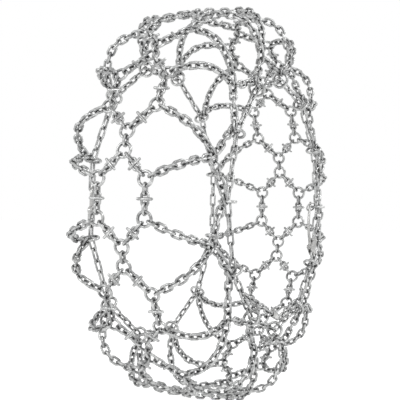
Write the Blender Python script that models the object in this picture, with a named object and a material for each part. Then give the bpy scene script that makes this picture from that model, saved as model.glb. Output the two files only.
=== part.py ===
"""A ring-net snow chain for a 335/80-20 size tractor tyre, in the shape it holds on the tyre.

World: metres, +Z up. The wheel's axis is Y and its centre is the origin. The outer side faces -Y.
Places on the wheel are given as (radius, angle, half width): the angle starts at -X and grows
towards +Z, and the half width is positive towards the outer side.
"""

import math

import bmesh
import bpy
from mathutils import Matrix, Vector

# Driving dimensions
PITCHES = 12  # net pitches round the tyre
NET_RADIUS = 0.525  # ring centres on the tread: 1.044 m tyre, plus half a ring's wire
WIRE = 0.007  # wire of the plain net links
LINK_PITCH = 0.020  # inner length of a plain link
LINK_HALF = 0.00825  # half its width, to the middle of the wire
STUD_PITCH = 0.0252  # inner length of a stud link
RING_WIRE = 0.0075
RING_INNER = 0.0137  # inner radius of a net ring
JUNCTION_RADIUS = 0.402  # the outer sidewall rings where two runs and two legs meet
JUNCTION_WIDTH = 0.172
SIDE_RADIUS = 0.338  # the outer rings the side chain runs through
SIDE_WIDTH = 0.188
SIDE_RING_INNER = 0.0165
SIDE_WIRE = 0.006  # wire of the long-link side chains
SIDE_LINK_HALF = 0.007
SIDE_LINKS = 5  # side chain links from one side ring to the next
TENSION_WIRE = 0.006
TENSION_HALF = 0.0072
STUD_BAR_RADIUS = 0.0038
STUD_BAR_LENGTH = 0.038
GAP = 0.0004  # between a chain's end and the ring it hangs in
JUNCTION_GAP = 0.009  # between the two runs that meet at one junction ring

# Worked out from the driving dimensions
STEP = 2 * math.pi / PITCHES
RING_MAJOR = RING_INNER + RING_WIRE / 2
SIDE_RING_MAJOR = SIDE_RING_INNER + RING_WIRE / 2
CENTRE_SPACING = 2 * RING_INNER + LINK_PITCH
STUD_SPACING = 2 * RING_INNER + 2 * LINK_PITCH + STUD_PITCH
HALF_CENTRE = CENTRE_SPACING / 2 / NET_RADIUS  # angles of a pair's rings from the pair's middle
HALF_STUD = STUD_SPACING / 2 / NET_RADIUS
INNER_SIDE_RADIUS = JUNCTION_RADIUS - SIDE_RING_MAJOR  # the inner side has no legs
DIAGONAL_RISE = NET_RADIUS * (STEP / 2 - HALF_CENTRE - HALF_STUD)
PAIR_WIDTH = math.sqrt(STUD_SPACING**2 - DIAGONAL_RISE**2)

SIDE_SPACING = 2 * SIDE_RADIUS * math.sin(STEP / 2)  # straight, from side ring to side ring
SIDE_PITCH = SIDE_SPACING / SIDE_LINKS

RING_CORNERS = 8
SIDE_RING_CORNERS = 16
BAR_CORNERS = 4
STUD_CORNERS = 6
ROUND_CORNERS = 8


def bar_for_chain(wire, pitch, half):
    """A chain's solid is a square bar with the volume, and so the mass, of its links."""
    wire_length = 2 * math.pi * half + 4 * (pitch / 2 + wire / 2 - half)
    volume = math.pi / 4 * wire**2 * wire_length
    return math.sqrt(volume / pitch / 2)


PLAIN_BAR = bar_for_chain(WIRE, LINK_PITCH, LINK_HALF)
SIDE_BAR = bar_for_chain(SIDE_WIRE, SIDE_PITCH, SIDE_LINK_HALF)
TENSION_BAR = bar_for_chain(TENSION_WIRE, LINK_PITCH, TENSION_HALF)
RING_BAR = RING_WIRE / 2 * math.sqrt(math.pi / 2)  # a square wire with a round one's area
RING_REACH = RING_MAJOR + RING_BAR + GAP  # where a chain of another node stops
JOIN_TRIM = SIDE_BAR * math.tan(STEP / 2) + GAP  # two lengths meet at a bend of one step

# The run's way over the shoulder and down the sidewall, as (radius, half width)
SHOULDER = (
    (NET_RADIUS, 0.105),
    (0.512, 0.143),
    (0.480, 0.165),
    (0.440, 0.1745),
)

# Closing lever, on the side chain between side rings 6 and 7. It lies on the chain's inner side.
LEVER_LEAN = math.radians(22.5)  # from the wheel's plane, in towards the sidewall
LEVER_PIVOT = 0.127  # from side ring 6, along the side chain
LEVER_OVERHANG = 0.006  # how far the tip reaches past side ring 6
PIVOT_OFFSET = 0.011  # the pivot and the tip stand this far off the side chain
TIP_OFFSET = 0.0315
LEVER_BOW = 0.008
LEVER_RADIUS = 0.0047
LEVER_STEPS = 6
LEVER_EYE = 0.0078
LEVER_EYE_WIDTH = 0.006
CHEEK_INSIDE = 0.0048  # from the lever's middle to the inside of a cheek
CHEEK = 0.004
EAR = 0.0036  # a cheek's ear round the lever's pin is a little thinner
CHEEK_LENGTH = 0.015
CHEEK_TOP = 0.0033  # a cheek's metal beyond the lever's pin
YOKE_REACH = 0.009  # the yoke's metal beyond the links it joins
YOKE_START = 3 * SIDE_PITCH - YOKE_REACH  # it stands for the fourth link after side ring 6
YOKE_END = 4 * SIDE_PITCH + YOKE_REACH
YOKE_HEIGHT = 0.012
PIN_RADIUS = 0.004
PIN_HEAD = 0.001  # how far the pin stands out of a cheek
PIN_CLEARANCE = 0.0005
TIP_TAPER = 0.72  # the tip's thickness, as a share of the lever's
KEEPER_NEAR = 0.0108  # the keeper's two bows, from the side chain
KEEPER_FAR = 0.0435
KEEPER_HALF_WIDTH = 0.0129
KEEPER_WIRE = 0.0042
KEEPER_TILT = math.radians(30)  # it leans across the ring's wire, so that the tip fits through
BOW_STEPS = 4

# Tension chain across the bottom, from the side chain to side ring 8, with its locking sleeve
TENSION_FROM = 0.5  # its start, as a share of the way from side ring 10 to side ring 11
TENSION_CLEAR = 0.030  # its first link lies beside the side chain
TENSION_LOW = 0.300  # how far below the axle the sleeve hangs
SLEEVE_LENGTH = 0.042
SLEEVE_WIDTH = 0.018
SLEEVE_THICKNESS = 0.011
SLEEVE_WALL = 0.0018
SLEEVE_TRAVEL = 0.006
SLEEVE_SLACK = 0.002  # still free at either end of its travel
CORE_RADIUS = 0.003  # the threaded core the sleeve slides on
CORE_HOLD = 0.004  # how far the core goes into the chain at either end

# Hook that closes the inner side chain
HOOK_LENGTH = 0.058
HOOK_BOW = 0.014
HOOK_RADIUS = 0.0060
HOOK_EYE = 0.012
HOOK_EYE_WIDTH = 0.0096
HOOK_GAP = 0.001  # between the hook and the chain on either side
# The hook's bow, as shares of its size: (past the shank's end, towards the wheel's middle)
HOOK_TURN = ((1.0, 0.4), (1.0, 1.2), (0.0, 1.6))
HOOK_TIP = 1.5


def place(radius, angle, width):
    return Vector((-radius * math.cos(angle), -width, radius * math.sin(angle)))


def radial(angle):
    return Vector((-math.cos(angle), 0, math.sin(angle)))


def tangent(angle):
    return Vector((math.sin(angle), 0, math.cos(angle)))


OUTWARD = Vector((0, -1, 0))


def clear_scene():
    for old in list(bpy.data.objects):
        bpy.data.objects.remove(old)


def make_collection(name):
    collection = bpy.data.collections.new(name)
    bpy.context.scene.collection.children.link(collection)
    return collection


def make_material(name, colour, metallic, roughness):
    material = bpy.data.materials.new(name)
    material.use_nodes = True
    shader = material.node_tree.nodes["Principled BSDF"]
    shader.inputs["Base Color"].default_value = (*colour, 1)
    shader.inputs["Metallic"].default_value = metallic
    shader.inputs["Roughness"].default_value = roughness
    material.diffuse_color = (*colour, 1)
    return material


def frame_at(centre, along, up):
    """A matrix whose Z is along and whose X is the part of up that is square to it."""
    z = along.normalized()
    x = (up - up.dot(z) * z).normalized()
    y = z.cross(x)
    return Matrix.Translation(centre) @ Matrix((x, y, z)).transposed().to_4x4()


def link_object(name, mesh, collection):
    obj = bpy.data.objects.new(name, mesh)
    collection.objects.link(obj)
    return obj


def tube(points, radius, closed=False, taper=1.0):
    """A mesh of a bar through the points, its caps welded to its sides."""
    curve = bpy.data.curves.new("bar", "CURVE")
    curve.dimensions = "3D"
    curve.bevel_depth = radius
    curve.bevel_resolution = 0
    curve.use_fill_caps = True
    spline = curve.splines.new("POLY")
    spline.points.add(len(points) - 1)
    spline.use_cyclic_u = closed
    for number, (spot, point) in enumerate(zip(spline.points, points)):
        spot.co = (*point, 1)
        spot.radius = 1 + (taper - 1) * number / (len(points) - 1)
    holder = bpy.data.objects.new("bar", curve)
    mesh = bpy.data.meshes.new_from_object(holder)
    bpy.data.objects.remove(holder)
    bm = bmesh.new()
    bm.from_mesh(mesh)
    bmesh.ops.remove_doubles(bm, verts=bm.verts, dist=0.0001)
    bmesh.ops.recalc_face_normals(bm, faces=bm.faces)
    bm.to_mesh(mesh)
    bm.free()
    return mesh


def prism(corners, centre, along, up, radius, length):
    """A straight bar with this many corners round it."""
    bm = bmesh.new()
    bmesh.ops.create_cone(
        bm,
        cap_ends=True,
        segments=corners,
        radius1=radius,
        radius2=radius,
        depth=length,
        matrix=frame_at(centre, along, up),
    )
    mesh = bpy.data.meshes.new("bar")
    bm.to_mesh(mesh)
    bm.free()
    return mesh


def torus(centre, normal, up, major, minor, corners=RING_CORNERS, wire_corners=BAR_CORNERS):
    """A ring of welded wire: a circle of wire corners spun about the ring's axis."""
    bm = bmesh.new()
    section = bmesh.ops.create_circle(
        bm,
        segments=wire_corners,
        radius=minor,
        matrix=Matrix.Translation((major, 0, 0)) @ Matrix.Rotation(math.pi / 2, 4, "X"),
    )
    bmesh.ops.spin(
        bm,
        geom=section["verts"] + bm.edges[:],
        cent=(0, 0, 0),
        axis=(0, 0, 1),
        angle=2 * math.pi,
        steps=corners,
        use_merge=True,
    )
    bmesh.ops.recalc_face_normals(bm, faces=bm.faces)
    bmesh.ops.transform(bm, matrix=frame_at(centre, normal, up), verts=bm.verts)
    mesh = bpy.data.meshes.new("ring")
    bm.to_mesh(mesh)
    bm.free()
    return mesh


def block(centre, along, up, size):
    """A box: size is (along up, square to both, along)."""
    bm = bmesh.new()
    bmesh.ops.create_cube(
        bm, size=1, matrix=frame_at(centre, along, up) @ Matrix.Diagonal((*size, 1))
    )
    mesh = bpy.data.meshes.new("block")
    bm.to_mesh(mesh)
    bm.free()
    return mesh


def joined(meshes, cuts=()):
    """One closed mesh from overlapping ones, by Boolean union, with the cuts taken out."""
    base = link_object("base", meshes[0], cutters)
    others = []
    for number, mesh in enumerate(list(meshes[1:]) + list(cuts)):
        other = link_object("piece", mesh, cutters)
        other.hide_render = True
        other.display_type = "WIRE"
        others.append(other)
        union = base.modifiers.new("join", "BOOLEAN")
        union.operation = "UNION" if number < len(meshes) - 1 else "DIFFERENCE"
        union.solver = "EXACT"
        union.object = other
    bpy.context.view_layer.update()
    depsgraph = bpy.context.evaluated_depsgraph_get()
    result = bpy.data.meshes.new_from_object(base.evaluated_get(depsgraph))
    for used in [base, *others]:
        bpy.data.objects.remove(used)
    return result


def add_part(name, mesh, material, angle=0.0, origin=None):
    """A named part. Its mesh is in world places, and its origin moves to a joint's axis."""
    mesh = mesh.copy()
    mesh.name = name
    mesh.materials.clear()
    mesh.materials.append(material)
    part = link_object(name, mesh, parts)
    if origin is not None:
        mesh.transform(Matrix.Translation(-origin))
        part.location = origin
    part.rotation_euler = (0, angle, 0)
    return part


def stud_arm(start, end, outward):
    """Three links between two rings, the middle one with a bar across it."""
    along = (end - start).normalized()
    across = along.cross(outward).normalized()
    middle = (start + end) / 2
    bar = prism(STUD_CORNERS, middle, across, outward, STUD_BAR_RADIUS, STUD_BAR_LENGTH)
    return [tube([start, end], PLAIN_BAR), bar]


def tread_cross():
    """A centre pair of rings with its link, and the four stud arms that leave it."""
    pieces = []
    lower, upper = (place(NET_RADIUS, side * HALF_CENTRE, 0) for side in (-1, 1))
    for side, centre in ((-1, lower), (1, upper)):
        angle = side * HALF_CENTRE
        pieces.append(torus(centre, radial(angle), tangent(angle), RING_MAJOR, RING_BAR))
    toward = (upper - lower).normalized() * RING_MAJOR
    pieces.append(tube([lower + toward, upper - toward], PLAIN_BAR))
    for side, centre in ((-1, lower), (1, upper)):
        angle = side * (STEP / 2 - HALF_STUD)
        for flank in (-1, 1):
            ring = place(NET_RADIUS, angle, flank * PAIR_WIDTH)
            along = (ring - centre).normalized()
            pieces += stud_arm(
                centre + along * RING_MAJOR, ring - along * RING_REACH, radial(angle / 2)
            )
    return joined(pieces)


def run_points(flank, side, stop):
    """A run from a stud pair's ring over the shoulder to a junction ring."""
    start_angle = side * HALF_STUD
    end_angle = side * STEP / 2
    profile = [(NET_RADIUS, PAIR_WIDTH), *SHOULDER, (JUNCTION_RADIUS, JUNCTION_WIDTH)]
    lengths = [0.0]
    for (r0, w0), (r1, w1) in zip(profile, profile[1:]):
        lengths.append(lengths[-1] + math.hypot(r1 - r0, w1 - w0))
    points = []
    for (radius, width), length in zip(profile, lengths):
        angle = start_angle + (end_angle - start_angle) * length / lengths[-1]
        points.append(place(radius, angle, flank * width))
    first = (points[1] - points[0]).normalized()
    last = (points[-1] - points[-2]).normalized()
    points[0] = points[0] + first * RING_MAJOR
    points[-1] = points[-1] - last * stop
    return points


def shoulder_net(flank):
    """A stud pair of rings, the arm between them, and two runs down to the junction rings."""
    pieces = []
    lower, upper = (place(NET_RADIUS, side * HALF_STUD, flank * PAIR_WIDTH) for side in (-1, 1))
    toward = (upper - lower).normalized() * RING_MAJOR
    for side, centre in ((-1, lower), (1, upper)):
        angle = side * HALF_STUD
        pieces.append(torus(centre, radial(angle), tangent(angle), RING_MAJOR, RING_BAR))
    pieces += stud_arm(lower + toward, upper - toward, radial(0))
    pieces.append(tube(run_points(flank, -1, RING_REACH + JUNCTION_GAP), PLAIN_BAR))
    if flank > 0:
        pieces.append(tube(run_points(flank, 1, RING_MAJOR), PLAIN_BAR))
        junction = place(JUNCTION_RADIUS, STEP / 2, JUNCTION_WIDTH)
        pieces.append(torus(junction, OUTWARD, radial(STEP / 2), RING_MAJOR, RING_BAR))
    else:
        pieces.append(tube(run_points(flank, 1, 0), PLAIN_BAR))
        ring = place(INNER_SIDE_RADIUS, STEP / 2, -JUNCTION_WIDTH)
        pieces.append(
            torus(ring, tangent(STEP / 2), radial(STEP / 2), SIDE_RING_MAJOR, RING_BAR)
        )
    return joined(pieces)


def side_ring_legs():
    """A side ring, square to the side chain that runs through it, and its two legs."""
    centre = place(SIDE_RADIUS, 0, SIDE_WIDTH)
    top = centre + radial(0) * (SIDE_RING_MAJOR - GAP)
    turned = (tangent(0), radial(0), SIDE_RING_MAJOR, RING_BAR, SIDE_RING_CORNERS)
    pieces = [torus(centre, *turned)]
    for side in (-1, 1):
        junction = place(JUNCTION_RADIUS, side * STEP / 2, JUNCTION_WIDTH)
        along = (junction - top).normalized()
        pieces.append(tube([top, junction - along * RING_REACH], PLAIN_BAR))
    return joined(pieces)


def chain_bar(points, trim_start=JOIN_TRIM, trim_end=JOIN_TRIM):
    """A side chain's solid through the points, shortened at its ends."""
    points[0] = points[0] + (points[1] - points[0]).normalized() * trim_start
    points[-1] = points[-1] + (points[-2] - points[-1]).normalized() * trim_end
    return tube(points, SIDE_BAR)


def ring_places(radius, width, first, last, shift=0.0):
    return [place(radius, (step + shift) * STEP, width) for step in range(first, last + 1)]


def build_yoke(foot, along, away, across, pivot):
    """Two cheeks that stand for one link of the side chain, its two pins and the lever's pin."""
    middle = foot + along * ((YOKE_START + YOKE_END) / 2 - LEVER_PIVOT)
    plate = (CHEEK, YOKE_HEIGHT, YOKE_END - YOKE_START)
    height = PIVOT_OFFSET + PIN_RADIUS + CHEEK_TOP
    yoke = []
    for side in (-1, 1):
        aside = across * side * (CHEEK_INSIDE + CHEEK / 2)
        yoke.append(block(middle + aside, along, across, plate))
        ear = foot + aside + away * height / 2
        yoke.append(block(ear, along, across, (EAR, height, CHEEK_LENGTH)))
    pin_length = 2 * (CHEEK_INSIDE + CHEEK + PIN_HEAD)
    half = (YOKE_END - YOKE_START) / 2 - YOKE_REACH + SIDE_WIRE / 2
    for side in (-1, 1):
        spot = middle + along * side * half
        yoke.append(prism(ROUND_CORNERS, spot, across, along, SIDE_WIRE / 2, pin_length))
    yoke.append(prism(ROUND_CORNERS, pivot, across, along, PIN_RADIUS, pin_length))
    add_part("lever_yoke", joined(yoke), bright_steel)


def build_lever():
    """The closing lever, the yoke it turns in and the keeper that holds its tip to side ring 6."""
    start, end = ring_places(SIDE_RADIUS, SIDE_WIDTH, 6, 7)
    along = (end - start).normalized()
    inward = along.cross(OUTWARD).normalized()
    away = inward * math.cos(LEVER_LEAN) - OUTWARD * math.sin(LEVER_LEAN)
    across = along.cross(away).normalized()
    foot = start + along * LEVER_PIVOT
    pivot = foot + away * PIVOT_OFFSET
    build_yoke(foot, along, away, across, pivot)

    tip = start - along * LEVER_OVERHANG + away * TIP_OFFSET
    points = []
    for step in range(LEVER_STEPS + 1):
        share = step / LEVER_STEPS
        points.append(pivot.lerp(tip, share) + away * LEVER_BOW * math.sin(math.pi * share))
    lever = [
        tube(points, LEVER_RADIUS, taper=TIP_TAPER),
        prism(ROUND_CORNERS, pivot, across, along, LEVER_EYE, LEVER_EYE_WIDTH),
    ]
    bore = PIN_RADIUS + PIN_CLEARANCE
    hole = prism(ROUND_CORNERS, pivot, across, along, bore, 2 * LEVER_EYE_WIDTH)
    add_part("closing_lever", joined(lever, [hole]), bright_steel, origin=pivot)

    ring_axis = tangent(6 * STEP)
    away = (away - away.dot(ring_axis) * ring_axis).normalized()  # now in side ring 6's own plane
    across = ring_axis.cross(away)
    aside = ring_axis * math.cos(KEEPER_TILT) + across * math.sin(KEEPER_TILT)
    bows = (
        (KEEPER_NEAR + KEEPER_HALF_WIDTH, math.pi),
        (KEEPER_FAR - KEEPER_HALF_WIDTH, 0),
    )
    outline = []
    for middle, turn in bows:
        for step in range(BOW_STEPS + 1):
            angle = turn - math.pi / 2 + math.pi * step / BOW_STEPS
            out = middle + KEEPER_HALF_WIDTH * math.cos(angle)
            outline.append(start + away * out + aside * KEEPER_HALF_WIDTH * math.sin(angle))
    keeper = tube(outline, KEEPER_WIRE / 2, closed=True)
    hinge = start + away * SIDE_RING_MAJOR
    add_part("lever_keeper", keeper, bright_steel, origin=hinge)


def build_tension_chain():
    """A chain across the bottom, with a sleeve that locks its joint."""
    ring_10, ring_11 = ring_places(SIDE_RADIUS, SIDE_WIDTH, 10, 11)
    start = ring_10.lerp(ring_11, TENSION_FROM)
    middle = place(TENSION_LOW, 9 * STEP, SIDE_WIDTH)
    end = place(SIDE_RADIUS - SIDE_RING_MAJOR, 8 * STEP, SIDE_WIDTH)
    along = (middle - start).normalized()
    half = SLEEVE_LENGTH / 2 + SLEEVE_TRAVEL + SLEEVE_SLACK
    last = (end - middle).normalized() * (RING_BAR + PLAIN_BAR)
    core_length = 2 * (half + CORE_HOLD)
    pieces = [
        tube([start + along * TENSION_CLEAR, middle - along * half], TENSION_BAR),
        tube([middle + along * half, end - last], TENSION_BAR),
        prism(ROUND_CORNERS, middle, along, OUTWARD, CORE_RADIUS, core_length),
    ]
    add_part("tension_chain", joined(pieces), zinc)

    bore = (
        SLEEVE_THICKNESS - 2 * SLEEVE_WALL,
        SLEEVE_WIDTH - 2 * SLEEVE_WALL,
        2 * SLEEVE_LENGTH,
    )
    outer = block(middle, along, OUTWARD, (SLEEVE_THICKNESS, SLEEVE_WIDTH, SLEEVE_LENGTH))
    opening = block(middle, along, OUTWARD, bore)
    add_part("tension_sleeve", joined([outer], [opening]), bright_steel, origin=middle)


def build_inner_side():
    """The inner side chain through the inner junction rings, closed by a hook."""
    below, above = ring_places(INNER_SIDE_RADIUS, -JUNCTION_WIDTH, -1, 0, 0.5)
    along = (above - below).normalized()
    middle = (below + above) / 2
    inward = -radial(0)
    eye = middle - along * HOOK_LENGTH / 2
    bend = middle + along * (HOOK_LENGTH / 2 - HOOK_BOW)
    shank = [eye, bend]
    for past, aside in HOOK_TURN:
        shank.append(bend + along * HOOK_BOW * past + inward * HOOK_BOW * aside)
    shank.append(middle + inward * HOOK_BOW * HOOK_TIP)
    hook = [
        tube(shank, HOOK_RADIUS),
        prism(ROUND_CORNERS, eye, OUTWARD, along, HOOK_EYE, HOOK_EYE_WIDTH),
    ]
    add_part("inner_hook", joined(hook), bright_steel, origin=eye)

    places = ring_places(INNER_SIDE_RADIUS, -JUNCTION_WIDTH, 0, 6, 0.5)
    start = middle + along * (HOOK_LENGTH / 2 + HOOK_RADIUS)
    add_part("inner_side_chain_a", chain_bar([start, *places], trim_start=HOOK_GAP), zinc)
    places = ring_places(INNER_SIDE_RADIUS, -JUNCTION_WIDTH, 6, 11, 0.5)
    end = eye - along * HOOK_EYE
    add_part("inner_side_chain_b", chain_bar([*places, end], trim_end=HOOK_GAP), zinc)


def build_outer_side():
    """The outer side chain through the side rings, in three lengths, open at the lever's yoke."""
    lengths = (
        ("a", 2, 7, JOIN_TRIM, SIDE_SPACING - YOKE_START + GAP),
        ("b", 6, 10, YOKE_END + GAP, JOIN_TRIM),
        ("c", 10, 14, JOIN_TRIM, JOIN_TRIM),
    )
    for tag, first, last, trim_start, trim_end in lengths:
        places = ring_places(SIDE_RADIUS, SIDE_WIDTH, first, last)
        add_part(f"outer_side_chain_{tag}", chain_bar(places, trim_start, trim_end), zinc)


def build_all():
    cross = tread_cross()
    shoulder = {1: shoulder_net(1), -1: shoulder_net(-1)}
    legs = side_ring_legs()
    for number in range(PITCHES):
        tag = f"{number:02d}"
        angle = number * STEP
        add_part(f"tread_cross_{tag}", cross, zinc, angle + STEP / 2)
        add_part(f"outer_shoulder_{tag}", shoulder[1], zinc, angle)
        add_part(f"inner_shoulder_{tag}", shoulder[-1], zinc, angle)
        add_part(f"side_ring_legs_{tag}", legs, zinc, angle)
    build_outer_side()
    build_inner_side()
    build_lever()
    build_tension_chain()


clear_scene()
parts = make_collection("snow_chain")
cutters = make_collection("cutters")
zinc = make_material("zinc_plated_steel", (0.60, 0.61, 0.61), 1.0, 0.35)
bright_steel = make_material("bright_zinc", (0.78, 0.78, 0.76), 1.0, 0.22)
build_all()
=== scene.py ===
"""Finished look of a ring-net snow chain: welded rings, interlocked links, studs and closers."""

import math
import random

import bmesh
import bpy
from mathutils import Matrix, Vector


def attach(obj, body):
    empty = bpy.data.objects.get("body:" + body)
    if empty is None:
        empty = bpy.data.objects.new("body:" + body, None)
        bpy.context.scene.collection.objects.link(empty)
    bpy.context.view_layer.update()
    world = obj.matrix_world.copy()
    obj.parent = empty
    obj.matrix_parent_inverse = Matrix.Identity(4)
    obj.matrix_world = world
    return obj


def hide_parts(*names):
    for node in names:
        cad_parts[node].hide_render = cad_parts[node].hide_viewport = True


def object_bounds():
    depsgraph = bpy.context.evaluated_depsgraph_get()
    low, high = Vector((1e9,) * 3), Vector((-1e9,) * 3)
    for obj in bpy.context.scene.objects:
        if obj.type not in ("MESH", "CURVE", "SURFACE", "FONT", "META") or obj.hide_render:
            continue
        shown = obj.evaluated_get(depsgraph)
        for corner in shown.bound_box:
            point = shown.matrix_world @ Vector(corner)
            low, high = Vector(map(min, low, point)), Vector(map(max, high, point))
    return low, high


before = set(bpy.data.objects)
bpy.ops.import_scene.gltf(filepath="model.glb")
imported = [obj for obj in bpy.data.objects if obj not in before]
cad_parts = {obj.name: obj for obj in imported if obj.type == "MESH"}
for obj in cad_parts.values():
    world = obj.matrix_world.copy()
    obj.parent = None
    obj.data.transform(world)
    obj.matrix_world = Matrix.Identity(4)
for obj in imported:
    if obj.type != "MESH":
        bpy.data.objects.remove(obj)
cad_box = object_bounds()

# The net, as the frame lays it out: wheel axis along Y, wheel centre at the origin
PITCHES = 12
STEP = 2 * math.pi / PITCHES
NET_RADIUS = 0.525
LINK_PITCH = 0.020
STUD_PITCH = 0.0252
WIRE = 0.007
LINK_HALF = 0.00825  # half the width of a plain link, to the middle of its wire
RING_WIRE = 0.0075
RING_INNER = 0.0137
RING_MAJOR = RING_INNER + RING_WIRE / 2
JUNCTION_RADIUS = 0.402
JUNCTION_WIDTH = 0.172
SIDE_RADIUS = 0.338
SIDE_WIDTH = 0.188
SIDE_RING_INNER = 0.0165
SIDE_RING_MAJOR = SIDE_RING_INNER + RING_WIRE / 2
SIDE_WIRE = 0.006
SIDE_HALF = 0.007
SIDE_PITCH = 0.035
SIDE_LINKS = 5
HALF_CENTRE = (2 * RING_INNER + LINK_PITCH) / 2 / NET_RADIUS
STUD_SPACING = 2 * RING_INNER + 2 * LINK_PITCH + STUD_PITCH
HALF_STUD = STUD_SPACING / 2 / NET_RADIUS
INNER_SIDE_RADIUS = JUNCTION_RADIUS - SIDE_RING_MAJOR
DIAGONAL_RISE = NET_RADIUS * (STEP / 2 - HALF_CENTRE - HALF_STUD)
PAIR_WIDTH = math.sqrt(STUD_SPACING**2 - DIAGONAL_RISE**2)
SHOULDER = ((NET_RADIUS, 0.105), (0.512, 0.143), (0.480, 0.165), (0.440, 0.1745))
SHOULDER_END = 0.440  # below this radius the net lies on the flat sidewall

# Studs: one short bar forged across a link
STUD_WIRE = 0.0076
STUD_REACH = 0.0185

# Closing lever, yoke and keeper
LEVER_LEAN = math.radians(22.5)  # the lever lies on the chain's inner side, leaning in
LEVER_PIVOT = 0.127
LEVER_OVERHANG = 0.006
PIVOT_OFFSET = 0.011
TIP_OFFSET = 0.0315
LEVER_BOW = 0.008
LEVER_RADIUS = 0.0047
LEVER_EYE = 0.0078
CHEEK = 0.004  # a yoke cheek's thickness
CHEEK_INSIDE = 0.0048  # from the lever's middle to the inside of a cheek
CHEEK_REACH = 0.006  # a cheek's metal round a chain pin
EAR_REACH = 0.0073  # and round the lever's pin
PIN_RADIUS = 0.004
KEEPER_NEAR = 0.0108
KEEPER_FAR = 0.0435
KEEPER_HALF = 0.0129
KEEPER_WIRE = 0.0042
KEEPER_TILT = math.radians(30)

# Tension chain and sleeve
TENSION_FROM = 0.5  # its start, as a share of the way from side ring 10 to side ring 11
TENSION_LOW = 0.300  # how far below the axle the sleeve hangs
TENSION_HALF = 0.0072
TENSION_SHIFT = 0.006  # its first link hooks the side link off its middle
TENSION_HOLD = 0.0098  # and reaches this far behind that link's wire
SLEEVE_LENGTH = 0.042
SLEEVE_WIDTH = 0.018
SLEEVE_THICKNESS = 0.011
SLEEVE_WALL = 0.0018
CORE_EYE = 0.0355  # from the sleeve's middle to the middle of a core eye
CORE_MAJOR = 0.0055
CORE_WIRE = 0.004
CORE_RADIUS = 0.003

# Inner hook
HOOK_LENGTH = 0.058
HOOK_BOW = 0.014
HOOK_RADIUS = 0.0060

OUTWARD = Vector((0, -1, 0))
CORNERS = 8  # round a link's wire
STATIONS = 12  # round a link
dice = random.Random(7)


def place(radius, angle, width):
    return Vector((-radius * math.cos(angle), -width, radius * math.sin(angle)))


def radial(angle):
    return Vector((-math.cos(angle), 0, math.sin(angle)))


def tangent(angle):
    return Vector((math.sin(angle), 0, math.cos(angle)))


def frame_at(centre, along, width):
    """Z along, X the part of width that is square to it."""
    z = along.normalized()
    x = (width - width.dot(z) * z).normalized()
    return Matrix.Translation(centre) @ Matrix((x, z.cross(x), z)).transposed().to_4x4()


# ---------------------------------------------------------------- meshes


def link_mesh(inner, half, wire, stations=STATIONS, corners=CORNERS):
    """A welded link, its length along Z and its width along X: a ring pulled out lengthways."""
    bm = bmesh.new()
    recess_shade = bm.verts.layers.float.new("recess_shade")
    half_turn = math.pi / stations
    major = half / math.cos(half_turn)
    start = Matrix.Rotation(half_turn, 4, "Y") @ Matrix.Translation((major, 0, 0))
    section = bmesh.ops.create_circle(bm, segments=corners, radius=wire / 2, matrix=start)
    bmesh.ops.spin(
        bm,
        geom=section["verts"] + bm.edges[:],
        cent=(0, 0, 0),
        axis=(0, 1, 0),
        angle=2 * math.pi,
        steps=stations,
        use_merge=True,
    )
    pull = inner / 2 + wire / 2 - half
    for side in (-1, 1):
        end = [v for v in bm.verts if v.co.z * side > 0]
        for v in end:
            # Painted shade: this layer marks the inner side of each end of the link, where links
            # meet, and the material darkens the colour there.
            inside = 1 - (math.hypot(v.co.x, v.co.z) - major + wire / 2) / wire
            v[recess_shade] = max(0.0, inside) * min(1.0, abs(v.co.z) / major * 1.3)
        bmesh.ops.translate(bm, vec=(0, 0, side * pull), verts=end)
    bmesh.ops.recalc_face_normals(bm, faces=bm.faces)
    return keep_mesh(bm, "link")


def ring_mesh(major, wire, stations=26, corners=10):
    """A round welded ring about Z, with the bead of its weld on the X side."""
    bm = bmesh.new()
    recess_shade = bm.verts.layers.float.new("recess_shade")
    start = Matrix.Translation((major, 0, 0)) @ Matrix.Rotation(math.pi / 2, 4, "X")
    section = bmesh.ops.create_circle(bm, segments=corners, radius=wire / 2, matrix=start)
    bmesh.ops.spin(
        bm,
        geom=section["verts"] + bm.edges[:],
        cent=(0, 0, 0),
        axis=(0, 0, 1),
        angle=2 * math.pi,
        steps=stations,
        use_merge=True,
    )
    # Painted shade: this layer marks the inner side of the ring, which the material darkens.
    for v in bm.verts:
        v[recess_shade] = 0.6 * max(0.0, (major - math.hypot(v.co.x, v.co.y)) / wire * 2)
    bead = [v for v in bm.verts if v.co.x > 0 and abs(v.co.y) < wire / 4]
    bmesh.ops.scale(bm, vec=(1.13, 1, 1.13), space=Matrix.Translation((-major, 0, 0)), verts=bead)
    bmesh.ops.recalc_face_normals(bm, faces=bm.faces)
    return keep_mesh(bm, "ring")


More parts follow.
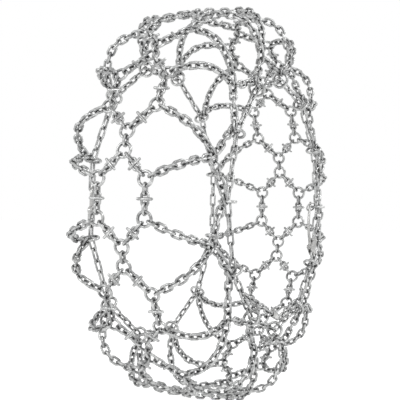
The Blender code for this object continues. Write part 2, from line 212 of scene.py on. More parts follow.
def bar_mesh(points, radii, up, flat=1.0, corners=10):
    """A forged bar: one round section extruded from point to point, with rounded ends."""
    bm = bmesh.new()
    bm.verts.layers.float.new("recess_shade")
    directions = []
    for number in range(len(points)):
        before = points[max(number - 1, 0)]
        after = points[min(number + 1, len(points) - 1)]
        directions.append((after - before).normalized())
    rims = [(points[0] - directions[0] * radii[0] * 0.45, directions[0], radii[0] * 0.62)]
    rims += list(zip(points, directions, radii))
    rims.append((points[-1] + directions[-1] * radii[-1] * 0.45, directions[-1], radii[-1] * 0.62))
    previous = None
    for centre, along, radius in rims:
        turn = frame_at(centre, along, up) @ Matrix.Diagonal((radius * flat, radius, 1, 1))
        if previous is None:
            bmesh.ops.create_circle(bm, segments=corners, radius=1, matrix=turn, cap_ends=True)
            rim = bm.edges[:]
        else:
            grown = bmesh.ops.extrude_edge_only(bm, edges=rim)["geom"]
            verts = [g for g in grown if isinstance(g, bmesh.types.BMVert)]
            rim = [g for g in grown if isinstance(g, bmesh.types.BMEdge)]
            rim = [e for e in rim if all(v in verts for v in e.verts)]
            bmesh.ops.transform(bm, matrix=turn @ previous.inverted(), verts=verts)
        previous = turn
    bmesh.ops.contextual_create(bm, geom=rim)
    bmesh.ops.recalc_face_normals(bm, faces=bm.faces)
    return keep_mesh(bm, "bar")


def washer_mesh(outer, bore, thickness, edge, segments=28):
    """A round eye about Z with a bore and eased rims."""
    bm = bmesh.new()
    bm.verts.layers.float.new("recess_shade")
    size = Matrix.Translation(((outer + bore) / 2, 0, 0)) @ Matrix.Rotation(math.pi / 2, 4, "X")
    size = size @ Matrix.Diagonal(((outer - bore), thickness, 1, 1))
    bmesh.ops.create_grid(bm, x_segments=1, y_segments=1, size=0.5, matrix=size)
    bmesh.ops.bevel(
        bm,
        geom=bm.verts[:],
        offset=edge,
        affect="VERTICES",
        segments=3,
        profile=0.5,
        material=-1,
    )
    bmesh.ops.delete(bm, geom=bm.faces[:], context="FACES_ONLY")
    bmesh.ops.spin(
        bm,
        geom=bm.verts[:] + bm.edges[:],
        cent=(0, 0, 0),
        axis=(0, 0, 1),
        angle=2 * math.pi,
        steps=segments,
        use_merge=True,
    )
    bmesh.ops.recalc_face_normals(bm, faces=bm.faces)
    return keep_mesh(bm, "eye")


def keep_mesh(bm, name):
    mesh = bpy.data.meshes.new(name)
    bm.to_mesh(mesh)
    bm.free()
    return mesh


class Piece:
    """A piece under construction: meshes are added one by one, each in its own place."""

    def __init__(self):
        self.bm = bmesh.new()
        self.bm.verts.layers.float.new("recess_shade")

    def add(self, mesh, matrix=Matrix.Identity(4)):
        before = len(self.bm.verts)
        self.bm.from_mesh(mesh)
        self.bm.verts.ensure_lookup_table()
        bmesh.ops.transform(self.bm, matrix=matrix, verts=self.bm.verts[before:])

    def finish(self, name, material, body, node, turn=0.0):
        bmesh.ops.rotate(
            self.bm, cent=(0, 0, 0), matrix=Matrix.Rotation(turn, 3, "Y"), verts=self.bm.verts
        )
        for face in self.bm.faces:
            face.smooth = True
        mesh = keep_mesh(self.bm, name)
        mesh.materials.append(material)
        obj = bpy.data.objects.new(name, mesh)
        bpy.context.scene.collection.objects.link(obj)
        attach(obj, body)
        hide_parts(node)
        return obj


# ---------------------------------------------------------------- chains


def rounded(points, rounds=2):
    """The same way with its corners cut, its ends left where they are."""
    for _ in range(rounds):
        cut = [points[0]]
        for a, b in zip(points, points[1:]):
            cut += [a.lerp(b, 0.25), a.lerp(b, 0.75)]
        points = cut + [points[-1]]
    return points


def lengths_along(points):
    total = [0.0]
    for a, b in zip(points, points[1:]):
        total.append(total[-1] + (b - a).length)
    return total


def point_at(points, total, length):
    for number in range(1, len(points)):
        if length <= total[number] or number == len(points) - 1:
            span = total[number] - total[number - 1]
            return points[number - 1].lerp(points[number], (length - total[number - 1]) / span)


def surface_up(point):
    """Away from the tyre: outwards from the axle on the tread, along the axle on a sidewall."""
    angle = math.atan2(point.z, -point.x)
    radius = math.hypot(point.x, point.z)
    lean = min(max((NET_RADIUS - radius) / (NET_RADIUS - SHOULDER_END), 0), 1) * math.pi / 2
    side = -1 if point.y > 0 else 1
    return radial(angle) * math.cos(lean) + OUTWARD * side * math.sin(lean)


def lay_chain(piece, points, count, half, wire, first_roll, last_roll, kinds=None, wobble=0.06):
    """Taut links along the points. A roll of 0 lies flat on the tyre, 1 stands on edge."""
    total = lengths_along(points)
    kinds = kinds or [(total[-1] / count, None)] * count
    rolls = [first_roll + number for number in range(count)]
    extra = (last_roll - rolls[-1]) % 2
    if extra > 1:
        extra -= 2
    met = 0.0
    for number, (pitch, special) in enumerate(kinds):
        start = point_at(points, total, met)
        end = point_at(points, total, met + pitch)
        met += pitch
        along = end - start
        middle = (start + end) / 2
        share = number / max(count - 1, 1)
        roll = (rolls[number] + extra * share) * math.pi / 2
        if special is None and 0 < number < count - 1:
            roll += dice.uniform(-wobble, wobble) * math.pi
        up = surface_up(middle)
        flat_width = along.cross(up).normalized()
        width = flat_width * math.cos(roll) + up * math.sin(roll)
        place_link(piece, middle, along, width, half, wire, special)


def place_link(piece, middle, along, width, half, wire, special):
    key = (round(along.length, 5), half, wire)
    if key not in link_store:
        link_store[key] = link_mesh(along.length, half, wire)
    seat = frame_at(middle, along, width)
    piece.add(link_store[key], seat)
    if special == "stud":
        piece.add(stud_bar, seat)


def stud_mesh():
    """A blunt bar across a link, one end turned up a little to bite."""
    points = []
    steps = 8
    for step in range(steps + 1):
        share = 2 * step / steps - 1
        lift = 0.0008 + 0.0026 * max(share, 0) ** 2
        points.append(Vector((STUD_REACH * share, lift, 0)))
    radius = STUD_WIRE / 2
    radii = [radius * (0.9 if step in (0, steps) else 1.0) for step in range(steps + 1)]
    return bar_mesh(points, radii, Vector((0, 1, 0)), corners=8)


def tread_cross(piece):
    """A centre pair of rings with its link, and the four stud arms that leave it."""
    rings = {side: place(NET_RADIUS, side * HALF_CENTRE, 0) for side in (-1, 1)}
    for side, centre in rings.items():
        piece.add(net_ring, frame_at(centre, radial(side * HALF_CENTRE), weld_side()))
    straight_chain(piece, rings[-1], rings[1], [(LINK_PITCH, None)])
    for side, centre in rings.items():
        for flank in (-1, 1):
            pair = place(NET_RADIUS, side * (STEP / 2 - HALF_STUD), flank * PAIR_WIDTH)
            straight_chain(piece, centre, pair, STUD_ARM)


def weld_side():
    """A direction for a ring's weld, a little different each time."""
    return Vector((dice.uniform(-1, 1), dice.uniform(-1, 1), dice.uniform(-1, 1)))


def straight_chain(piece, a, b, kinds):
    """Links between two rings that lie flat on the tread."""
    along = (b - a).normalized()
    points = [a + along * RING_INNER, b - along * RING_INNER]
    scale = (points[1] - points[0]).length / sum(pitch for pitch, _ in kinds)
    kinds = [(pitch * scale, special) for pitch, special in kinds]
    lay_chain(piece, points, len(kinds), LINK_HALF, WIRE, 1, 1, kinds)


def run_way(flank, side):
    """From a stud pair's ring over the shoulder to the junction place."""
    profile = [(NET_RADIUS, PAIR_WIDTH), *SHOULDER, (JUNCTION_RADIUS, JUNCTION_WIDTH)]
    total = [0.0]
    for (r0, w0), (r1, w1) in zip(profile, profile[1:]):
        total.append(total[-1] + math.hypot(r1 - r0, w1 - w0))
    points = []
    for (radius, width), length in zip(profile, total):
        angle = side * (HALF_STUD + (STEP / 2 - HALF_STUD) * length / total[-1])
        points.append(place(radius, angle, flank * width))
    return rounded(points)


def trimmed(points, start, end):
    """The way without its first and last stretches; a negative one lengthens it."""
    points = list(points)
    for stretch, near, next_ in ((start, 0, 1), (end, -1, -2)):
        while (points[near] - points[next_]).length < stretch:
            stretch -= (points[near] - points[next_]).length
            points.pop(near)
        points[near] = points[near] + (points[next_] - points[near]).normalized() * stretch
    return points


def shoulder_net(piece, flank):
    """A stud pair of rings, the arm between them, and two runs down to the junction rings."""
    rings = {s: place(NET_RADIUS, s * HALF_STUD, flank * PAIR_WIDTH) for s in (-1, 1)}
    for side, centre in rings.items():
        piece.add(net_ring, frame_at(centre, radial(side * HALF_STUD), weld_side()))
    straight_chain(piece, rings[-1], rings[1], STUD_ARM)
    for side in (-1, 1):
        way = run_way(flank, side)
        if flank > 0:
            way = trimmed(way, RING_INNER, RING_INNER)
            last_roll = 1
        else:
            shift = OUTWARD * side * 0.0038  # two runs share the wire of one inner ring
            way = [point + shift * n / (len(way) - 1) for n, point in enumerate(way)]
            way = trimmed(way, RING_INNER, -RING_WIRE / 2)
            last_roll = 0
        length = lengths_along(way)[-1]
        lay_chain(piece, way, round(length / LINK_PITCH), LINK_HALF, WIRE, 1, last_roll)
    if flank > 0:
        junction = place(JUNCTION_RADIUS, STEP / 2, JUNCTION_WIDTH)
        piece.add(net_ring, frame_at(junction, OUTWARD, -radial(STEP / 2)))
    else:
        ring = place(INNER_SIDE_RADIUS, STEP / 2, -JUNCTION_WIDTH)
        piece.add(side_ring, frame_at(ring, tangent(STEP / 2), -radial(STEP / 2)))


def side_ring_legs(piece):
    """A side ring, square to the side chain, and the two legs that hang it from the net."""
    centre = place(SIDE_RADIUS, 0, SIDE_WIDTH)
    piece.add(side_ring, frame_at(centre, tangent(0), -radial(0) + 0.6 * OUTWARD))
    top = centre + radial(0) * SIDE_RING_MAJOR
    for side in (-1, 1):
        junction = place(JUNCTION_RADIUS, side * STEP / 2, JUNCTION_WIDTH)
        foot = top + OUTWARD * side * 0.0038
        way = trimmed([foot, junction], -RING_WIRE / 2, RING_INNER)
        lay_chain(piece, way, LEG_LINKS, LINK_HALF, WIRE, 0, 1)


def side_chain(piece, corners, first_roll, trim_start=0.0, trim_end=0.0, pitch=SIDE_PITCH):
    """Long links through the side rings, a whole number of them from corner to corner."""
    roll = first_roll
    for number, (a, b) in enumerate(zip(corners, corners[1:])):
        along = (b - a).normalized()
        start = a + along * (trim_start if number == 0 else 0)
        end = b - along * (trim_end if number == len(corners) - 2 else 0)
        count = max(1, round((end - start).length / pitch))
        last = roll + count - 1
        lay_chain(piece, [start, end], count, SIDE_HALF, SIDE_WIRE, roll, last, wobble=0.03)
        roll = (roll + count) % 2
    return roll


def corners_of(radius, width, first, last, shift=0.0):
    return [place(radius, (step + shift) * STEP, width) for step in range(first, last + 1)]


# ---------------------------------------------------------------- materials


def socket_group(name, inputs, outputs):
    group = bpy.data.node_groups.new(name, "ShaderNodeTree")
    for title, kind, value in inputs:
        socket = group.interface.new_socket(title, in_out="INPUT", socket_type=kind)
        if value is not None:
            socket.default_value = value
    for title, kind in outputs:
        group.interface.new_socket(title, in_out="OUTPUT", socket_type=kind)
    nodes = group.nodes
    return group, nodes.new("NodeGroupInput"), nodes.new("NodeGroupOutput")


def add_node(tree, kind, **values):
    """A node with its settings; names that match a socket set the socket."""
    node = tree.nodes.new(kind)
    for name, value in values.items():
        title = name.replace("_", " ").title()
        if title in node.inputs:
            node.inputs[title].default_value = value
        else:
            setattr(node, name, value)
    return node


def ramp(tree, source, stops):
    node = tree.nodes.new("ShaderNodeValToRGB")
    elements = node.color_ramp.elements
    for number, (position, value) in enumerate(stops):
        element = elements[number] if number < 2 else elements.new(position)
        element.position = position
        element.color = (value, value, value, 1)
    tree.links.new(source, node.inputs["Fac"])
    return node.outputs["Color"]


def math_node(tree, operation, a, b):
    node = tree.nodes.new("ShaderNodeMath")
    node.operation = operation
    for number, value in enumerate((a, b)):
        if isinstance(value, (int, float)):
            node.inputs[number].default_value = value
        else:
            tree.links.new(value, node.inputs[number])
    return node.outputs[0]


def zinc_surface():
    """Zinc plate over drawn wire: clouded patina, crystal grain, handling marks and fine pits, with
    painted shade on the inner sides of links and rings.
    """
    group, source, sink = socket_group(
        "zinc_surface",
        [
            ("Patina", "NodeSocketFloat", 0.5),
            ("Grain", "NodeSocketFloat", 900.0),
            ("Recess_Shade", "NodeSocketFloat", 0.0),
        ],
        [
            ("Dullness_And_Shade", "NodeSocketFloat"),
            ("Roughness", "NodeSocketFloat"),
            ("Height", "NodeSocketFloat"),
        ],
    )
    tree = group
    where = tree.nodes.new("ShaderNodeTexCoord")
    cloud = add_node(tree, "ShaderNodeTexNoise", scale=75.0, detail=4.0, roughness=0.6)
    tree.links.new(where.outputs["Object"], cloud.inputs["Vector"])
    clouds = ramp(tree, cloud.outputs["Fac"], ((0.36, 0.0), (0.68, 1.0)))
    crystal = tree.nodes.new("ShaderNodeTexVoronoi")
    tree.links.new(where.outputs["Object"], crystal.inputs["Vector"])
    tree.links.new(source.outputs["Grain"], crystal.inputs["Scale"])
    grains = ramp(tree, crystal.outputs["Distance"], ((0.0, 0.0), (0.9, 1.0)))
    scratch_map = add_node(tree, "ShaderNodeMapping", scale=(2600.0, 240.0, 700.0))
    scratch_map.inputs["Rotation"].default_value = (0.4, 0.7, 0.2)
    tree.links.new(where.outputs["Object"], scratch_map.inputs["Vector"])
    scratch = add_node(tree, "ShaderNodeTexNoise", scale=1.0, detail=2.0)
    tree.links.new(scratch_map.outputs["Vector"], scratch.inputs["Vector"])
    marks = ramp(tree, scratch.outputs["Fac"], ((0.60, 0.0), (0.70, 1.0)))
    pits_noise = add_node(tree, "ShaderNodeTexNoise", scale=1500.0, detail=3.0)
    tree.links.new(where.outputs["Object"], pits_noise.inputs["Vector"])

    dull_and_shade = math_node(tree, "MULTIPLY", clouds, source.outputs["Patina"])
    dull_and_shade = math_node(tree, "ADD", dull_and_shade, math_node(tree, "MULTIPLY", grains, 0.12))
    # Painted shade: the recess layer adds darkness on the inner sides of links and rings.
    dull_and_shade = math_node(tree, "ADD", dull_and_shade, math_node(tree, "MULTIPLY", source.outputs["Recess_Shade"], 0.75))
    dull_and_shade = math_node(tree, "SUBTRACT", dull_and_shade, math_node(tree, "MULTIPLY", marks, 0.22))
    clamp = tree.nodes.new("ShaderNodeClamp")
    tree.links.new(dull_and_shade, clamp.inputs["Value"])
    tree.links.new(clamp.outputs[0], sink.inputs["Dullness_And_Shade"])

    rough = math_node(tree, "MULTIPLY", clamp.outputs[0], 0.26)
    rough = math_node(tree, "ADD", rough, 0.2)
    rough = math_node(tree, "SUBTRACT", rough, math_node(tree, "MULTIPLY", marks, 0.07))
    tree.links.new(rough, sink.inputs["Roughness"])

    height = math_node(tree, "MULTIPLY", pits_noise.outputs["Fac"], 0.6)
    height = math_node(tree, "ADD", height, math_node(tree, "MULTIPLY", grains, 0.25))
    height = math_node(tree, "SUBTRACT", height, math_node(tree, "MULTIPLY", marks, 0.35))
    tree.links.new(height, sink.inputs["Height"])
    return group


def zinc_material(name, bright, dull_and_shade, patina, grain, bump_depth):
    material = bpy.data.materials.new(name)
    material.use_nodes = True
    tree = material.node_tree
    shader = tree.nodes["Principled BSDF"]
    shader.inputs["Metallic"].default_value = 0.9
    surface = tree.nodes.new("ShaderNodeGroup")
    surface.node_tree = zinc
    surface.inputs["Patina"].default_value = patina
    surface.inputs["Grain"].default_value = grain
    # Painted shade: the mesh's recess layer darkens the colour on the inner sides of links and
    # rings.
    recess_shade = tree.nodes.new("ShaderNodeAttribute")
    recess_shade.attribute_name = "recess_shade"
    tree.links.new(recess_shade.outputs["Fac"], surface.inputs["Recess_Shade"])
    # The dark colour is both the zinc's patina and the painted shade in link and ring recesses.
    colour = tree.nodes.new("ShaderNodeMix")
    colour.data_type = "RGBA"
    colour.inputs[6].default_value = (*bright, 1)
    colour.inputs[7].default_value = (*dull_and_shade, 1)
    tree.links.new(surface.outputs["Dullness_And_Shade"], colour.inputs[0])
    tree.links.new(colour.outputs[2], shader.inputs["Base Color"])
    tree.links.new(surface.outputs["Roughness"], shader.inputs["Roughness"])
    bump = tree.nodes.new("ShaderNodeBump")
    bump.inputs["Strength"].default_value = 0.35
    bump.inputs["Distance"].default_value = bump_depth
    tree.links.new(surface.outputs["Height"], bump.inputs["Height"])
    tree.links.new(bump.outputs["Normal"], shader.inputs["Normal"])
    return material


zinc = zinc_surface()
# Each finish's dark colour is its patina and also its painted shade in the recesses.
plated = zinc_material(
    "plated_links", (0.62, 0.625, 0.62), (0.05, 0.052, 0.055), 0.6, 900.0, 0.0003
)
bright = zinc_material(
    "bright_fittings", (0.54, 0.54, 0.53), (0.13, 0.13, 0.13), 0.35, 500.0, 0.0002
)

# ---------------------------------------------------------------- the net

link_store = {}
net_ring = ring_mesh(RING_MAJOR, RING_WIRE)
side_ring = ring_mesh(SIDE_RING_MAJOR, RING_WIRE)
stud_bar = stud_mesh()
STUD_ARM = [(LINK_PITCH, None), (STUD_PITCH, "stud"), (LINK_PITCH, None)]
LEG_LINKS = 5

for number in range(PITCHES):
    tag = f"{number:02d}"
    angle = number * STEP
    for name, make, turn in (
        ("tread_cross", tread_cross, angle + STEP / 2),
        ("outer_shoulder", lambda piece: shoulder_net(piece, 1), angle),
        ("inner_shoulder", lambda piece: shoulder_net(piece, -1), angle),
        ("side_ring_legs", side_ring_legs, angle),
    ):
        piece = Piece()
        make(piece)
        piece.finish(f"{name}_links_{tag}", plated, "net", f"{name}_{tag}", turn)

# ---------------------------------------------------------------- outer side chain and lever

chord = 2 * SIDE_RADIUS * math.sin(STEP / 2)
SIDE_EXACT = chord / SIDE_LINKS
YOKE_NEAR = 3 * SIDE_EXACT  # the yoke takes the place of the fourth link after side ring 6
YOKE_FAR = 4 * SIDE_EXACT
for tag, first, last, roll, trim_start, trim_end in (
    ("a", 2, 7, 0, 0.0, chord - YOKE_NEAR),
    ("b", 6, 10, 0, YOKE_FAR, 0.0),
    ("c", 10, 14, 0, 0.0, 0.0),
):
    piece = Piece()
    corners = corners_of(SIDE_RADIUS, SIDE_WIDTH, first, last)
    side_chain(piece, corners, roll, trim_start, trim_end)
    piece.finish(f"outer_side_links_{tag}", plated, "net", f"outer_side_chain_{tag}")

ring_6, ring_7 = corners_of(SIDE_RADIUS, SIDE_WIDTH, 6, 7)
along = (ring_7 - ring_6).normalized()
toward_axle = along.cross(OUTWARD).normalized()
away = toward_axle * math.cos(LEVER_LEAN) - OUTWARD * math.sin(LEVER_LEAN)
across = along.cross(away).normalized()
pivot = ring_6 + along * LEVER_PIVOT + away * PIVOT_OFFSET


def cheek_mesh():
    """A yoke cheek: a plate through the two chain pins and the lever's pin, its edges eased."""
    bm = bmesh.new()
    bm.verts.layers.float.new("recess_shade")
    near = YOKE_NEAR - SIDE_WIRE / 2
    far = YOKE_FAR + SIDE_WIRE / 2
    outline = []
    for centre, height, radius, first, last in (
        (near, 0.0, CHEEK_REACH, 100, 270),
        (far, 0.0, CHEEK_REACH, -90, 60),
        (LEVER_PIVOT, PIVOT_OFFSET, EAR_REACH, 20, 160),
    ):
        for step in range(6):
            angle = math.radians(first + (last - first) * step / 5)
            outline.append((centre + radius * math.cos(angle), height + radius * math.sin(angle)))
    verts = [bm.verts.new((s, h, 0)) for s, h in outline]
    plate = bm.faces.new(verts)
    grown = bmesh.ops.extrude_face_region(bm, geom=[plate])["geom"]
    lifted = [g for g in grown if isinstance(g, bmesh.types.BMVert)]
    bmesh.ops.translate(bm, vec=(0, 0, CHEEK), verts=lifted)
    rims = [e for e in bm.edges if abs(e.verts[0].co.z - e.verts[1].co.z) < CHEEK / 2]
    bmesh.ops.bevel(
        bm, geom=rims, offset=0.0007, affect="EDGES", segments=2, profile=0.5, material=-1
    )
    bmesh.ops.recalc_face_normals(bm, faces=bm.faces)
    return keep_mesh(bm, "cheek")


def pin_mesh(radius, length, head):
    """A pin about Z with a riveted head at each end."""
    bm = bmesh.new()
    bm.verts.layers.float.new("recess_shade")
    bmesh.ops.create_cone(
        bm, cap_ends=True, segments=20, radius1=radius, radius2=radius, depth=length
    )
    caps = [f for f in bm.faces if len(f.verts) > 4]
    for cap in caps:
        side = 1 if cap.calc_center_median().z > 0 else -1
        bmesh.ops.inset_region(bm, faces=[cap], thickness=0.0001)
        bmesh.ops.translate(bm, vec=(0, 0, side * head), verts=cap.verts)
        bmesh.ops.inset_region(bm, faces=[cap], thickness=radius * 0.3)
        bmesh.ops.translate(bm, vec=(0, 0, side * head * 0.6), verts=cap.verts)
    bmesh.ops.recalc_face_normals(bm, faces=bm.faces)
    return keep_mesh(bm, "pin")


yoke = Piece()
cheek = cheek_mesh()
flat_seat = Matrix((along, away, across)).transposed().to_4x4()
for side in (-1, 1):
    low = CHEEK_INSIDE if side > 0 else -CHEEK_INSIDE - CHEEK
    yoke.add(cheek, Matrix.Translation(ring_6 + across * low) @ flat_seat)
pin_length = 2 * (CHEEK_INSIDE + CHEEK) + 0.0008
for radius, centre in (
    (SIDE_WIRE / 2, ring_6 + along * (YOKE_NEAR - SIDE_WIRE / 2)),
    (SIDE_WIRE / 2, ring_6 + along * (YOKE_FAR + SIDE_WIRE / 2)),
    (PIN_RADIUS, pivot),
):
    yoke.add(pin_mesh(radius, pin_length, 0.0008), frame_at(centre, across, along))
yoke.finish("lever_yoke_plates", bright, "net", "lever_yoke")

tip = ring_6 - along * LEVER_OVERHANG + away * TIP_OFFSET
points = []
radii = []
steps = 16
for step in range(steps + 1):
    share = 0.04 + 0.96 * step / steps
    points.append(pivot.lerp(tip, share) + away * LEVER_BOW * math.sin(math.pi * share))
    radii.append(LEVER_RADIUS * (1.08 - 0.36 * share))
lever = Piece()
lever.add(bar_mesh(points, radii, away, flat=0.9, corners=16))
lever.add(
    washer_mesh(LEVER_EYE, PIN_RADIUS + 0.0003, 0.0074, 0.0012), frame_at(pivot, across, along)
)
lever.finish("closing_lever_forging", bright, "lever", "closing_lever")

ring_axis = tangent(6 * STEP)
ring_away = (away - away.dot(ring_axis) * ring_axis).normalized()
ring_across = ring_axis.cross(ring_away)
aside = ring_axis * math.cos(KEEPER_TILT) + ring_across * math.sin(KEEPER_TILT)
keeper = Piece()
keeper_link = link_mesh(
    KEEPER_FAR - KEEPER_NEAR - KEEPER_WIRE, KEEPER_HALF, KEEPER_WIRE, stations=28, corners=12
)
keeper_middle = ring_6 + ring_away * (KEEPER_NEAR + KEEPER_FAR) / 2
keeper.add(keeper_link, frame_at(keeper_middle, ring_away, aside))
keeper.finish("lever_keeper_link", bright, "keeper", "lever_keeper")

# ---------------------------------------------------------------- tension chain and sleeve

ring_10, ring_11 = corners_of(SIDE_RADIUS, SIDE_WIDTH, 10, 11)
low_start = ring_10.lerp(ring_11, TENSION_FROM)
low_end = place(SIDE_RADIUS - SIDE_RING_MAJOR, 8 * STEP, SIDE_WIDTH)
low_middle = place(TENSION_LOW, 9 * STEP, SIDE_WIDTH)
low_along = (low_middle - low_start).normalized()
low_across = low_along.cross(OUTWARD).normalized()
side_way = (ring_10 - ring_11).normalized()
side_leg = low_start - radial(10.5 * STEP) * SIDE_HALF + side_way * TENSION_SHIFT
core_eye = ring_mesh(CORE_MAJOR, CORE_WIRE, stations=20, corners=10)
tension = Piece()
for start, hold, side, first_roll, eye_axis, eye_roll in (
    (side_leg, TENSION_HOLD, -1, 1, OUTWARD, 1),
    (low_end, RING_WIRE / 2, 1, 0, low_across, 0),
):
    eye = low_middle + low_along * side * CORE_EYE
    way = (eye - start).normalized()
    reach = eye - way * (CORE_MAJOR - CORE_WIRE / 2)
    points = [start - way * hold, reach]
    count = round((points[1] - points[0]).length / LINK_PITCH)
    lay_chain(tension, points, count, TENSION_HALF, SIDE_WIRE, first_roll, eye_roll, wobble=0.05)
    tension.add(core_eye, frame_at(eye, eye_axis, way))
rod_half = CORE_EYE - CORE_MAJOR
rod = [low_middle + low_along * rod_half * t for t in (-1, -0.5, 0, 0.5, 1)]
tension.add(bar_mesh(rod, [CORE_RADIUS] * 5, OUTWARD, corners=16))
tension.finish("tension_links", plated, "net", "tension_chain")


def sleeve_mesh():
    """A flattened tube with rolled rims."""
    bm = bmesh.new()
    bm.verts.layers.float.new("recess_shade")
    radius = SLEEVE_THICKNESS / 2
    segments = 36
    bmesh.ops.create_cone(
        bm,
        cap_ends=False,
        segments=segments,
        radius1=radius,
        radius2=radius,
        depth=SLEEVE_LENGTH,
        matrix=Matrix.Rotation(math.pi / segments, 4, "Z"),
    )
    for side in (-1, 1):
        half = [v for v in bm.verts if v.co.y * side > 0]
        bmesh.ops.translate(bm, vec=(0, side * (SLEEVE_WIDTH / 2 - radius), 0), verts=half)
    bmesh.ops.recalc_face_normals(bm, faces=bm.faces)
    bmesh.ops.solidify(bm, geom=bm.faces[:], thickness=SLEEVE_WALL)
    bmesh.ops.recalc_face_normals(bm, faces=bm.faces)
    rims = [
        e
        for e in bm.edges
        if abs(e.verts[0].co.z) > SLEEVE_LENGTH / 2 - 1e-5
        and abs(e.verts[1].co.z - e.verts[0].co.z) < 1e-5
        and e.calc_face_angle(0) > 1.0
    ]
    bmesh.ops.bevel(
        bm, geom=rims, offset=0.0005, affect="EDGES", segments=2, profile=0.5, material=-1
    )
    return keep_mesh(bm, "sleeve")


sleeve = Piece()
sleeve.add(sleeve_mesh(), frame_at(low_middle, low_along, OUTWARD))
sleeve.finish("tension_sleeve_tube", bright, "sleeve", "tension_sleeve")

# ---------------------------------------------------------------- inner side chain and hook

below, above = corners_of(INNER_SIDE_RADIUS, -JUNCTION_WIDTH, -1, 0, 0.5)
hook_along = (above - below).normalized()
hook_middle = (below + above) / 2
inward = -radial(0)
eye_place = hook_middle - hook_along * HOOK_LENGTH / 2
shank = rounded(
    [
        eye_place + hook_along * 0.011,
        hook_middle + hook_along * (HOOK_LENGTH / 2 - HOOK_BOW),
        hook_middle + hook_along * HOOK_LENGTH / 2 + inward * HOOK_BOW * 0.3,
        hook_middle + hook_along * HOOK_LENGTH / 2 + inward * HOOK_BOW * 1.2,
        hook_middle + hook_along * (HOOK_LENGTH / 2 - HOOK_BOW) + inward * HOOK_BOW * 1.6,
        hook_middle + inward * HOOK_BOW * 1.5,
    ],
    rounds=3,
)
radii = []
for number in range(len(shank)):
    share = number / (len(shank) - 1)
    radii.append(HOOK_RADIUS * (1.0 - 0.35 * max(0, share - 0.6) / 0.4))
hook = Piece()
hook.add(bar_mesh(shank, radii, OUTWARD, flat=0.85, corners=14))
hook.add(
    washer_mesh(0.012, 0.0062, 2 * HOOK_RADIUS * 0.85, 0.0018), frame_at(eye_place, OUTWARD, inward)
)
hook.finish("inner_hook_forging", bright, "hook", "inner_hook")

bow_inside = hook_middle + hook_along * (HOOK_LENGTH / 2 - HOOK_RADIUS)
eye_inside = eye_place - hook_along * 0.0062
chain_ways = (
    ("a", [bow_inside, *corners_of(INNER_SIDE_RADIUS, -JUNCTION_WIDTH, 0, 6, 0.5)], 1),
    ("b", [eye_inside, *reversed(corners_of(INNER_SIDE_RADIUS, -JUNCTION_WIDTH, 6, 11, 0.5))], 1),
)
for tag, corners, roll in chain_ways:
    piece = Piece()
    side_chain(piece, corners, roll)
    piece.finish(f"inner_side_links_{tag}", plated, "net", f"inner_side_chain_{tag}")

# ---------------------------------------------------------------- floor, light and camera


def link_new(name, data):
    obj = bpy.data.objects.new(name, data)
    bpy.context.scene.collection.objects.link(obj)
    return obj


def white_where_seen(tree, seen, other, output):
    """Mixes two shaders: seen by the camera and by mirror rays, other for the light itself."""
    path = tree.nodes.new("ShaderNodeLightPath")
    most = math_node(tree, "MAXIMUM", path.outputs["Is Camera Ray"], path.outputs["Is Glossy Ray"])
    most = math_node(tree, "MAXIMUM", most, path.outputs["Is Transmission Ray"])
    mix = tree.nodes.new("ShaderNodeMixShader")
    tree.links.new(most, mix.inputs[0])
    tree.links.new(other, mix.inputs[1])
    tree.links.new(seen, mix.inputs[2])
    tree.links.new(mix.outputs[0], output)


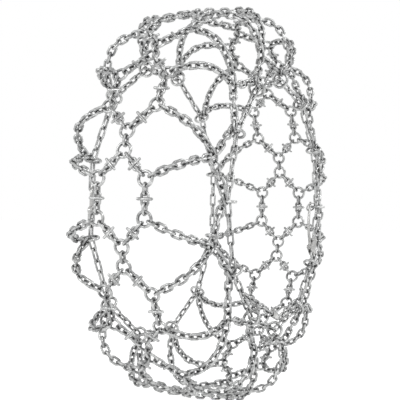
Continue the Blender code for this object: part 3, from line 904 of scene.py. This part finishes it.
floor_bm = bmesh.new()
bmesh.ops.create_grid(
    floor_bm,
    x_segments=1,
    y_segments=1,
    size=40,
    matrix=Matrix.Translation((0, 0, cad_box[0][2])),
)
floor = link_new("floor", keep_mesh(floor_bm, "floor"))
floor_paint = bpy.data.materials.new("floor_paint")
floor_paint.use_nodes = True
tree = floor_paint.node_tree
tree.nodes.clear()
paint = add_node(tree, "ShaderNodeBsdfDiffuse", color=(0.82, 0.82, 0.82, 1))
glow = add_node(tree, "ShaderNodeEmission", color=(1, 1, 1, 1), strength=0.75)
lit = tree.nodes.new("ShaderNodeAddShader")
tree.links.new(paint.outputs[0], lit.inputs[0])
tree.links.new(glow.outputs[0], lit.inputs[1])
surface = tree.nodes.new("ShaderNodeOutputMaterial")
white_where_seen(tree, lit.outputs[0], paint.outputs[0], surface.inputs["Surface"])
floor.data.materials.append(floor_paint)

world = bpy.data.worlds.new("studio")
bpy.context.scene.world = world
world.use_nodes = True
tree = world.node_tree
tree.nodes.clear()
backdrop = add_node(tree, "ShaderNodeBackground", color=(1, 1, 1, 1), strength=1.0)
sky = add_node(tree, "ShaderNodeBackground", color=(1, 1, 1, 1), strength=0.45)
surface = tree.nodes.new("ShaderNodeOutputWorld")
white_where_seen(tree, backdrop.outputs[0], sky.outputs[0], surface.inputs["Surface"])


def soft_box(name, spot, size, power):
    lamp = bpy.data.lights.new(name, "AREA")
    lamp.shape = "RECTANGLE"
    lamp.size = size[0]
    lamp.size_y = size[1]
    lamp.energy = power
    obj = link_new(name, lamp)
    obj.matrix_world = frame_at(Vector(spot), Vector(spot), Vector((0, 0, 1)))


soft_box("key", (-2.2, -2.6, 2.4), (1.6, 1.2), 42)
soft_box("side", (-3.0, 1.6, 1.2), (0.8, 1.8), 20)
soft_box("rim", (1.8, -2.0, 1.8), (0.8, 1.6), 22)

AZIMUTH = math.radians(-65.63)
ELEVATION = math.radians(-0.756)
DISTANCE = 2.7425
YAW = 0.0144
PITCH = -0.0032
ROLL = 0.0241
FOCAL = 983.46


def back_vector(azimuth, elevation):
    return Vector(
        (
            math.sin(azimuth) * math.cos(elevation),
            -math.cos(azimuth) * math.cos(elevation),
            math.sin(elevation),
        )
    )


back = back_vector(AZIMUTH + YAW, ELEVATION + PITCH)
right = Vector((math.cos(AZIMUTH + YAW), math.sin(AZIMUTH + YAW), 0))
above_camera = back.cross(right)
right_rolled = right * math.cos(ROLL) + above_camera * math.sin(ROLL)
up_rolled = back.cross(right_rolled)
camera = link_new("camera", bpy.data.cameras.new("camera"))
camera.data.lens = FOCAL * 36 / 400
camera.data.sensor_width = 36
turned = Matrix((right_rolled, up_rolled, back)).transposed().to_4x4()
camera.matrix_world = Matrix.Translation(back_vector(AZIMUTH, ELEVATION) * DISTANCE) @ turned
bpy.context.scene.camera = camera
bpy.context.scene.view_settings.view_transform = "Standard"
